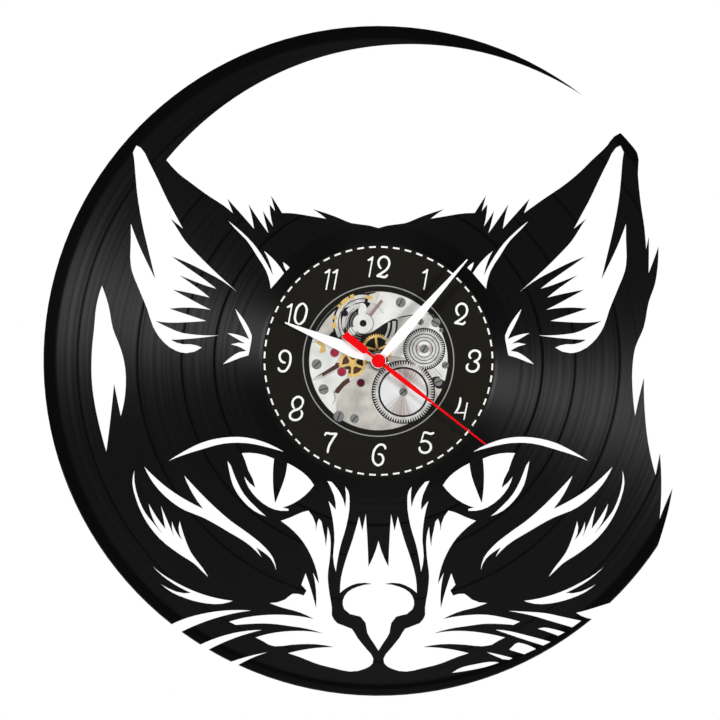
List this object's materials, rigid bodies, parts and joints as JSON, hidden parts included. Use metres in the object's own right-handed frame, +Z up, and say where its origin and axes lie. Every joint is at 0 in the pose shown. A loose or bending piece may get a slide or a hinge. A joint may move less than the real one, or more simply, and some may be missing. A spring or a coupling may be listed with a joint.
{
  "type": "record wall clock",
  "caption": "Wall clock cut from a black long-playing record as a cat's face under a crescent moon, with a printed dial, three hands and a battery movement behind.",
  "frame": {"origin": "on the hands' axis, at the outer face of the movement's back cover, which is the wall plane", "axes": "+X right as seen by a person reading the clock, +Z up towards twelve, +Y out of the back into the wall; the dial faces -Y"},
  "size_m": [0.2831, 0.0275, 0.3016],
  "materials": {
    "vinyl": "glossy black with fine grooves",
    "dial_paper": "satin black print on thin card",
    "white_ink": "white print",
    "picture_print": "printed picture of metal parts",
    "white_hand": "gloss white paint",
    "red_hand": "gloss red paint",
    "case_plastic": "fine textured moulding",
    "knob_plastic": "moulded",
    "hanger_steel": "zinc plated sheet",
    "gasket_rubber": "matt",
    "nickel": "bright nickel plate",
    "white_gear": "moulded acetal",
    "magnet": "sintered ferrite",
    "silicon_iron": "stamped sheet",
    "bobbin_plastic": "moulded",
    "copper_wire": "enamelled copper wire",
    "board": "green solder mask",
    "crystal_can": "drawn metal can",
    "epoxy": "glossy black blob",
    "contact_spring": "nickel plated spring strip",
    "cell_jacket": "plain printed jacket"
  },
  "bodies": {
    "clock": {"record_plate": "vinyl", "dial_label": "dial_paper", "dial_marks": "white_ink", "numerals": "white_ink", "movement_print": "picture_print", "front_case": "case_plastic", "back_cover": "case_plastic", "hanger_plate": "hanger_steel", "rubber_gasket": "gasket_rubber", "flat_washer": "nickel", "mounting_nut": "nickel", "stator": "silicon_iron", "coil_core": "silicon_iron", "coil_bobbin": "bobbin_plastic", "coil_winding": "copper_wire", "circuit_board": "board", "quartz_crystal": "crystal_can", "ic_blob": "epoxy", "battery_contact_plus": "contact_spring", "battery_contact_minus": "contact_spring"},
    "seconds": {"seconds_wheel": "white_gear", "second_hand": "red_hand"},
    "minutes": {"cannon_pinion": "white_gear", "centre_wheel": "white_gear", "minute_hand": "white_hand"},
    "hours": {"hour_wheel": "white_gear", "hour_hand": "white_hand"},
    "motion": {"motion_wheel": "white_gear", "setting_knob": "knob_plastic"},
    "third": {"third_wheel": "white_gear"},
    "intermediate": {"intermediate_wheel": "white_gear"},
    "rotor": {"rotor_pinion": "white_gear", "rotor_magnet": "magnet"},
    "battery": {"battery_cell": "cell_jacket"}
  },
  "joints": [
    {"name": "seconds_turn", "type": "hinge", "parent": "clock", "child": "seconds", "pos_m": [0, 0, 0], "axis": [0, 1, 0], "continuous": true},
    {"name": "minutes_turn", "type": "hinge", "parent": "clock", "child": "minutes", "pos_m": [0, 0, 0], "axis": [0, 1, 0], "continuous": true},
    {"name": "hours_turn", "type": "hinge", "parent": "clock", "child": "hours", "pos_m": [0, 0, 0], "axis": [0, 1, 0], "continuous": true},
    {"name": "motion_turn", "type": "hinge", "parent": "clock", "child": "motion", "pos_m": [-0.01083, 0, 0.00191], "axis": [0, 1, 0], "continuous": true},
    {"name": "third_turn", "type": "hinge", "parent": "clock", "child": "third", "pos_m": [0.01016, 0, 0.00089], "axis": [0, 1, 0], "continuous": true},
    {"name": "intermediate_turn", "type": "hinge", "parent": "clock", "child": "intermediate", "pos_m": [0.00182, 0, 0.01034], "axis": [0, 1, 0], "continuous": true},
    {"name": "rotor_turn", "type": "hinge", "parent": "clock", "child": "rotor", "pos_m": [0.01028, 0, 0.01342], "axis": [0, 1, 0], "continuous": true},
    {"name": "battery_slide", "type": "slide", "parent": "clock", "child": "battery", "axis": [0, 1, 0], "range_m": [0, 0.02]}
  ],
  "couplings": [
    {"joint": "minutes_turn", "follows": "seconds_turn", "ratio": 0.016667},
    {"joint": "hours_turn", "follows": "seconds_turn", "ratio": 0.0013889},
    {"joint": "motion_turn", "follows": "seconds_turn", "ratio": -0.0055556},
    {"joint": "third_turn", "follows": "seconds_turn", "ratio": -0.13333},
    {"joint": "intermediate_turn", "follows": "seconds_turn", "ratio": -6},
    {"joint": "rotor_turn", "follows": "seconds_turn", "ratio": 30}
  ]
}
